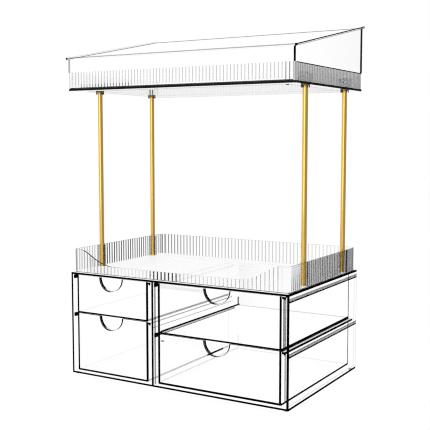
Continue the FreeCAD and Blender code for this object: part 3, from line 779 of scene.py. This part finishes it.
def lower_tray():
    tray = Tray("lower_tray", TRAY_FLOOR, corner_radius=8.0)
    lower_tray_sides(tray)
    lower_tray_ends(tray)
    lower_tray_corners(tray)
    lower_tray_edges(tray)
    tray.finish("top")


def upper_tray():
    tray = Tray("upper_tray", CANOPY_FLOOR, corner_radius=3.0)
    rise = tray.tree.math("SUBTRACT", tray.tree.z, CANOPY_FLOOR)
    upper_tray_walls(tray, rise)
    upper_tray_edges(tray, rise)
    tray.finish("bottom")


lower_tray()
upper_tray()


# ---------------------------------------------------------------------------
# Posts, sockets and feet
# ---------------------------------------------------------------------------


def lower_socket(name, depth):
    """A clear sleeve with painted shade where its wall turns away to either side, depth of the full painted
    shade.
    """
    tree = Tree(f"{name}_acrylic")
    marks = ShadeMarks(tree)
    outer = tree.upright()
    marks.add(0.65 * depth, 0.15 * depth, outer, lobe(tree, -ACROSS_X, -ACROSS_Y, 0.65))
    marks.add(0.5 * depth, 0.15 * depth, outer, lobe(tree, ACROSS_X, ACROSS_Y, 0.7))
    marks.add(0.2 * depth, 0.0, tree.turned(tree.nz, 0.5))
    give(nodes[name], acrylic(tree, marks, colour=PAINTED_SHADE_SOFT))


def upper_socket(name, fill, bore):
    """A boss over a spigot with painted shade, black at both sides; bore is how dark the painted shade on
    the edges of its bore is.
    """
    low, high = box(name)
    tree = Tree(f"{name}_acrylic")
    marks = ShadeMarks(tree)
    outer = tree.upright()
    spigot = tree.between(tree.z, low.z + EDGE, CANOPY_LEVEL)
    marks.add(BLACK, 0.0, outer, spigot, lobe(tree, -ACROSS_X, -ACROSS_Y, 0.6))
    marks.add(BLACK, 0.0, outer, spigot, lobe(tree, ACROSS_X, ACROSS_Y, 0.7))
    marks.add(0.15, 0.0, outer, spigot)
    marks.add(fill, 0.0, outer, tree.between(tree.z, CANOPY_FLOOR + 0.1, high.z - EDGE))
    middle = (low + high) / 2
    aside = tree.math("ADD", tree.times(tree.x, ACROSS_X), tree.times(tree.y, ACROSS_Y))
    aside = tree.math("SUBTRACT", aside, ACROSS_X * middle.x + ACROSS_Y * middle.y)
    bore_edges = tree.between(tree.math("ABSOLUTE", aside), 1.0, 2.6)
    marks.add(bore, 0.0, outer, tree.between(tree.z, CANOPY_LEVEL, CANOPY_LEVEL + 9.0), bore_edges)
    give(nodes[name], acrylic(tree, marks, colour=PAINTED_SHADE_BLACK if bore else PAINTED_SHADE_WARM))


def brass(name):
    """A post of polished brass under a clear lacquer, with a fine grain along it."""
    tree = Tree(f"{name}_brass")
    grain = tree.noise(0.9, 4.0, (1, 1, 0.05))
    cloud = tree.noise(0.06, 2.0)
    colour = tree.blend(cloud, (0.70, 0.41, 0.020), (0.75, 0.45, 0.028))
    metal = tree.shade(colour, tree.spread(grain, 0.08, 0.16), 1.0, tree.bump(grain, 0.01, 0.03))
    for socket, value in (("Coat Weight", 1.0), ("Coat Roughness", 0.05), ("Coat IOR", 1.8)):
        metal.node.inputs[socket].default_value = value
    give(nodes[name], tree.finish(metal))


def pad(name):
    """A foot of half-clear dark rubber."""
    tree = Tree(f"{name}_pad")
    grain = tree.noise(1.5, 3.0)
    colour = tree.blend(grain, (0.02, 0.02, 0.02), (0.05, 0.05, 0.05))
    rubber = tree.shade(colour, tree.spread(grain, 0.5, 0.8), 0.0, tree.bump(grain, 0.05, 0.2))
    share = tree.spread(grain, 0.45, 0.6)
    give(nodes[name], tree.finish(tree.mix(share, tree.clear((1.0, 1.0, 1.0)), rubber)))


for corner, fill, bore, depth in (
    ("front_left", 0.05, 0.0, 1.0),
    ("front_right", 0.18, 0.0, 0.15),
    ("back_left", 0.05, BLACK, 1.0),
    ("back_right", 0.18, 0.0, 0.15),
):
    lower_socket(f"{corner}_lower_socket", depth)
    upper_socket(f"{corner}_upper_socket", fill, bore)
    brass(f"{corner}_post")
    pad(f"{corner}_foot")


# ---------------------------------------------------------------------------
# Floor, world, lamps and camera
# ---------------------------------------------------------------------------


def plane(name, corners):
    """A flat piece of the stage through four corners in metres."""
    mesh = bpy.data.meshes.new(name)
    mesh.from_pydata(corners, [], [(0, 1, 2, 3)])
    piece = bpy.data.objects.new(name, mesh)
    scene.collection.objects.link(piece)
    return piece


def emission(tree, colour, strength):
    """A shader that glows evenly."""
    node = tree.nodes.new("ShaderNodeEmission")
    tree.plug((*colour, 1.0) if isinstance(colour, tuple) else colour, node.inputs["Color"])
    node.inputs["Strength"].default_value = strength
    return node.outputs[0]


def make_floor():
    """A pale paper floor that is all but white to the camera and in reflections."""
    reach = 6.0
    left, right, front, back = -reach, reach, -reach, reach
    floor = plane("floor", [(left, front, 0), (right, front, 0), (right, back, 0), (left, back, 0)])
    tree = Tree("floor_paper")
    grain = tree.noise(0.4, 2.0)
    paper = tree.shade(tree.blend(grain, (0.93, 0.93, 0.93), (0.96, 0.96, 0.96)), 0.9)
    path = tree.nodes.new("ShaderNodeLightPath").outputs
    seen = tree.most(path["Is Camera Ray"], path["Is Glossy Ray"], path["Is Transmission Ray"])
    glow = emission(tree, (1.0, 1.0, 1.0), 1.03)
    floor.data.materials.append(tree.finish(tree.mix(tree.times(seen, 0.85), paper, glow)))


def make_flag():
    """A grey card beside the object that only reflections meet: it shades the posts' right halves."""
    aside, front, back, bottom, top = 0.45, 2.6, -3.0, -0.5, 2.0
    corners = []
    for toward, up in ((front, bottom), (back, bottom), (back, top), (front, top)):
        x = ACROSS_X * aside + TOWARD_X * toward
        y = ACROSS_Y * aside + TOWARD_Y * toward
        corners.append((x, y, up))
    flag = plane("flag", corners)
    tree = Tree("flag_card")
    grey = tree.blend(tree.noise(0.3, 2.0), (0.45, 0.45, 0.58), (0.49, 0.49, 0.62))
    flag.data.materials.append(tree.finish(emission(tree, grey, 1.0)))
    flag.visible_camera = False
    flag.visible_diffuse = False
    flag.visible_transmission = False
    flag.visible_shadow = False


def background(tree, strength):
    """A white background shader for the world."""
    node = tree.nodes.new("ShaderNodeBackground")
    node.inputs["Color"].default_value = (1, 1, 1, 1)
    node.inputs["Strength"].default_value = strength
    return node.outputs[0]


def make_world():
    """White to the camera and in reflections, a little dimmer as light."""
    world = bpy.data.worlds.new("studio")
    scene.world = world
    world.use_nodes = True
    tree = world.node_tree
    tree.nodes.clear()
    out = tree.nodes.new("ShaderNodeOutputWorld")
    path = tree.nodes.new("ShaderNodeLightPath")
    mix = tree.nodes.new("ShaderNodeMixShader")
    seen = path.outputs["Is Camera Ray"]
    for kind in ("Is Glossy Ray", "Is Transmission Ray"):
        either = tree.nodes.new("ShaderNodeMath")
        either.operation = "MAXIMUM"
        tree.links.new(seen, either.inputs[0])
        tree.links.new(path.outputs[kind], either.inputs[1])
        seen = either.outputs[0]
    tree.links.new(seen, mix.inputs[0])
    tree.links.new(background(tree, 0.85), mix.inputs[1])
    tree.links.new(background(tree, 1.0), mix.inputs[2])
    tree.links.new(mix.outputs[0], out.inputs[0])


def make_lamp(name, place, aim, size, watts):
    """A soft rectangular lamp that the camera doesn't see."""
    data = bpy.data.lights.new(name, "AREA")
    data.shape = "RECTANGLE"
    data.size, data.size_y = size
    data.energy = watts
    lamp = bpy.data.objects.new(name, data)
    scene.collection.objects.link(lamp)
    lamp.location = place
    lamp.rotation_euler = (Vector(aim) - Vector(place)).to_track_quat("-Z", "Y").to_euler()
    lamp.visible_camera = False


def make_camera():
    """The photograph's camera, as fitted to the object's corners."""
    tilt_down, turn = 0.09117, 0.53438
    data = bpy.data.cameras.new("camera")
    data.sensor_width = 36.0
    data.lens = 69.43
    camera = bpy.data.objects.new("camera", data)
    scene.collection.objects.link(camera)
    camera.location = (0.52586, -0.88927, 0.29415)
    camera.rotation_euler = (math.pi / 2 - tilt_down, 0.0, turn)
    scene.camera = camera


make_floor()
make_world()
make_flag()
make_lamp("key", (0.05, -1.9, 0.85), (0, 0, 0.85), (1.3, 1.6), 8.6)
make_lamp("fill", (1.4, -0.6, 1.6), (0, 0, 0.2), (1.0, 1.0), 5.0)
make_camera()

scene.view_settings.view_transform = "Standard"
scene.cycles.transparent_max_bounces = 96
scene.cycles.max_bounces = 16
scene.cycles.filter_width = 1.15
